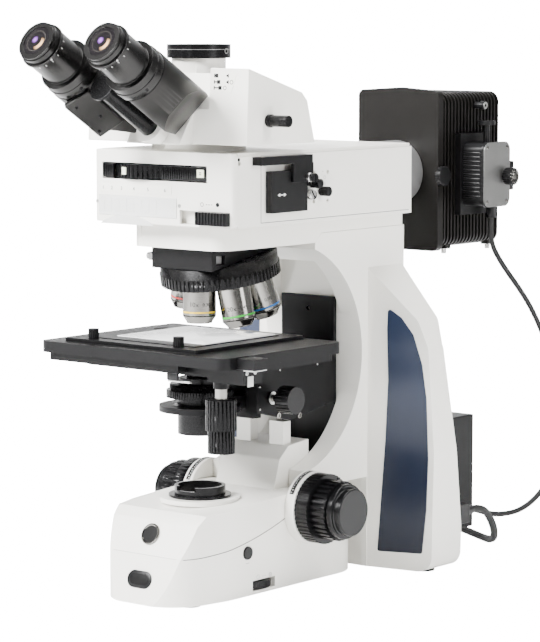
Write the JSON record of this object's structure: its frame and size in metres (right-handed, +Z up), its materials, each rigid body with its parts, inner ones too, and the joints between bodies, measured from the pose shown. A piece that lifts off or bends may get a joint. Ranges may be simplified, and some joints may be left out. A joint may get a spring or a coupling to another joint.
{
  "type": "trinocular microscope",
  "caption": "Upright trinocular microscope with a transmitted-light base, reflected-light turret and rear lamphouse, focusing stage, turning nosepiece and swinging eyepieces",
  "frame": {"origin": "On the optical axis, where the middle foot stands on the table", "axes": "+Z up, the user sits on the -Y side, +X to the user's right"},
  "size_m": [0.253, 0.5922, 0.4896],
  "materials": {
    "white_paint": "smooth satin white stove enamel",
    "black_paint": "fine textured black paint",
    "dark_metal": "dark grey hammered paint",
    "anodised": "black anodised, turned and knurled",
    "grey_metal": "grey satin anodised",
    "steel": "brushed steel",
    "chrome": "satin chrome with a coloured ring",
    "black_plastic": "matt black plastic",
    "navy": "satin navy film",
    "glass": "clear coated optical glass",
    "rubber": "matt black rubber",
    "cord": "black flexible cord jacket"
  },
  "bodies": {
    "stand": {"base_pan": "white_paint", "base_cover": "white_paint", "rubber_feet": "rubber", "stand_lenses": "glass", "column_shell": "white_paint", "side_inlays": "navy", "guard_plate": "black_paint", "rear_lamp_box": "black_paint", "limb": "white_paint", "illuminator_housing": "white_paint", "turret_front_cover": "white_paint", "head_housing": "white_paint", "camera_clamp_ring": "anodised", "hinge_shaft": "steel", "nosepiece_mount": "black_paint", "polariser_plate": "grey_metal", "focus_collars": "white_paint", "lamp_front_cover": "dark_metal", "lamp_body": "dark_metal", "lamp_holder": "black_plastic", "mains_cord": "cord", "mains_coil": "cord", "cord_plugs": "black_plastic", "lamp_cord": "cord"},
    "field_diaphragm": {"field_diaphragm_ring": "anodised"},
    "filter_turret": {"filter_wheel": "anodised"},
    "shutter": {"shutter_slider": "black_plastic"},
    "light_path_selector": {"light_path_rod": "anodised"},
    "right_tube": {"right_arm": "dark_metal", "right_eyepiece": "anodised"},
    "left_tube": {"left_arm": "dark_metal", "left_eyepiece": "anodised"},
    "right_dioptre": {"right_dioptre_ring": "anodised"},
    "left_dioptre": {"left_dioptre_ring": "anodised"},
    "nosepiece": {"nosepiece_turret": "anodised", "objective_red": "chrome", "objective_yellow": "chrome", "objective_green": "chrome", "objective_blue": "chrome"},
    "prism": {"prism_slider": "grey_metal"},
    "analyser": {"analyser_slider": "black_plastic"},
    "aperture_stop": {"stop_knob": "anodised"},
    "stop_centring": {"centring_knob": "anodised"},
    "stage_bracket": {"stage_carrier": "black_paint"},
    "stage_lower_slide": {"stage_y_plate": "anodised"},
    "stage_upper_slide": {"stage_x_plate": "anodised", "stage_insert": "grey_metal"},
    "stage_y_drive": {"stage_y_knob": "anodised"},
    "stage_x_drive": {"stage_x_knob": "anodised"},
    "condenser": {"condenser_carrier": "black_paint", "condenser_body": "anodised"},
    "condenser_diaphragm": {"condenser_aperture_ring": "anodised"},
    "condenser_drive": {"condenser_knob": "black_plastic"},
    "coarse_drive": {"coarse_knobs": "black_plastic"},
    "fine_drive": {"fine_knobs": "black_plastic"},
    "focus_tension": {"tension_ring": "black_plastic"},
    "power_switch": {"power_button": "black_plastic"},
    "brightness": {"brightness_wheel": "black_plastic"},
    "collector_focus": {"collector_knob": "black_plastic"},
    "bulb_centring": {"bulb_knob": "black_plastic"}
  },
  "joints": [
    {"name": "stage_lift", "type": "slide", "parent": "stand", "child": "stage_bracket", "axis": [0, 0, 1], "range_m": [-0.025, 0.002]},
    {"name": "coarse_turn", "type": "hinge", "parent": "stand", "child": "coarse_drive", "pos_m": [0, 0.0798, 0.0697], "axis": [1, 0, 0], "range_deg": [-240, 20]},
    {"name": "fine_turn", "type": "hinge", "parent": "coarse_drive", "child": "fine_drive", "pos_m": [0, 0.0798, 0.0697], "axis": [1, 0, 0], "continuous": true},
    {"name": "tension_turn", "type": "hinge", "parent": "stand", "child": "focus_tension", "pos_m": [0.07, 0.0798, 0.0697], "axis": [1, 0, 0], "range_deg": [-40, 40]},
    {"name": "stage_y_travel", "type": "slide", "parent": "stage_bracket", "child": "stage_lower_slide", "axis": [0, 1, 0], "range_m": [-0.025, 0.025]},
    {"name": "stage_y_turn", "type": "hinge", "parent": "stage_lower_slide", "child": "stage_y_drive", "pos_m": [0.076, -0.061, 0.168], "axis": [0, 0, 1], "range_deg": [-240, 240]},
    {"name": "stage_x_travel", "type": "slide", "parent": "stage_lower_slide", "child": "stage_upper_slide", "axis": [1, 0, 0], "range_m": [-0.038, 0.038]},
    {"name": "stage_x_turn", "type": "hinge", "parent": "stage_lower_slide", "child": "stage_x_drive", "pos_m": [0.076, -0.061, 0.145], "axis": [0, 0, 1], "range_deg": [-240, 240]},
    {"name": "condenser_lift", "type": "slide", "parent": "stage_bracket", "child": "condenser", "axis": [0, 0, 1], "range_m": [-0.015, 0.003]},
    {"name": "condenser_turn", "type": "hinge", "parent": "stage_bracket", "child": "condenser_drive", "pos_m": [0.04, 0.048, 0.167], "axis": [1, 0, 0], "range_deg": [-145, 30]},
    {"name": "condenser_aperture", "type": "hinge", "parent": "condenser", "child": "condenser_diaphragm", "pos_m": [0, 0, 0.174], "axis": [0, 0, 1], "range_deg": [-45, 45]},
    {"name": "interpupillary", "type": "hinge", "parent": "stand", "child": "right_tube", "pos_m": [0, -0.063, 0.4024], "axis": [0, -0.8572, 0.515], "range_deg": [-18, 29.5]},
    {"name": "interpupillary_left", "type": "hinge", "parent": "stand", "child": "left_tube", "pos_m": [0, -0.063, 0.4024], "axis": [0, -0.8572, 0.515], "range_deg": [-29.5, 18]},
    {"name": "right_dioptre_turn", "type": "hinge", "parent": "right_tube", "child": "right_dioptre", "pos_m": [0.036, -0.05673, 0.41283], "axis": [0, -0.8572, 0.515], "range_deg": [-135, 135]},
    {"name": "left_dioptre_turn", "type": "hinge", "parent": "left_tube", "child": "left_dioptre", "pos_m": [-0.036, -0.05673, 0.41283], "axis": [0, -0.8572, 0.515], "range_deg": [-135, 135]},
    {"name": "nosepiece_turn", "type": "hinge", "parent": "stand", "child": "nosepiece", "pos_m": [0, 0.0283, 0.271], "axis": [0, -0.1857, 0.9826], "continuous": true},
    {"name": "filter_turn", "type": "hinge", "parent": "stand", "child": "filter_turret", "pos_m": [-0.028, -0.005, 0.35], "axis": [0, 0, 1], "continuous": true},
    {"name": "shutter_travel", "type": "slide", "parent": "stand", "child": "shutter", "axis": [1, 0, 0], "range_m": [-0.02, 0]},
    {"name": "light_path_travel", "type": "slide", "parent": "stand", "child": "light_path_selector", "axis": [1, 0, 0], "range_m": [0, 0.018]},
    {"name": "prism_travel", "type": "slide", "parent": "stand", "child": "prism", "axis": [1, 0, 0], "range_m": [-0.02, 0.003]},
    {"name": "analyser_travel", "type": "slide", "parent": "stand", "child": "analyser", "axis": [0, 1, 0], "range_m": [-0.012, 0.004]},
    {"name": "aperture_stop_turn", "type": "hinge", "parent": "stand", "child": "aperture_stop", "pos_m": [0.08, 0.053, 0.3535], "axis": [1, 0, 0], "range_deg": [-150, 150]},
    {"name": "stop_centring_turn", "type": "hinge", "parent": "stand", "child": "stop_centring", "pos_m": [0.08, 0.0685, 0.346], "axis": [1, 0, 0], "range_deg": [-150, 150]},
    {"name": "field_diaphragm_turn", "type": "hinge", "parent": "stand", "child": "field_diaphragm", "pos_m": [0, 0, 0.088], "axis": [0, 0, 1], "range_deg": [-60, 60]},
    {"name": "power_press", "type": "slide", "parent": "stand", "child": "power_switch", "axis": [-1, 0, 0], "range_m": [0, 0.0015], "stiffness_N_per_m": 900},
    {"name": "brightness_turn", "type": "hinge", "parent": "stand", "child": "brightness", "pos_m": [0.043, 0.021, 0.0105], "axis": [0, 0, 1], "range_deg": [-135, 135]},
    {"name": "collector_turn", "type": "hinge", "parent": "stand", "child": "collector_focus", "pos_m": [0.05, 0.286, 0.3474], "axis": [1, 0, 0], "range_deg": [-90, 90]},
    {"name": "bulb_centring_turn", "type": "hinge", "parent": "stand", "child": "bulb_centring", "pos_m": [0.08, 0.344, 0.346], "axis": [1, 0, 0], "range_deg": [-120, 120]}
  ],
  "couplings": [
    {"joint": "coarse_turn", "follows": "stage_lift", "rad_per_m": 166.67},
    {"joint": "stage_y_turn", "follows": "stage_y_travel", "rad_per_m": 166.67},
    {"joint": "stage_x_turn", "follows": "stage_x_travel", "rad_per_m": 110},
    {"joint": "condenser_turn", "follows": "condenser_lift", "rad_per_m": 166.67},
    {"joint": "interpupillary_left", "follows": "interpupillary", "ratio": -1}
  ]
}
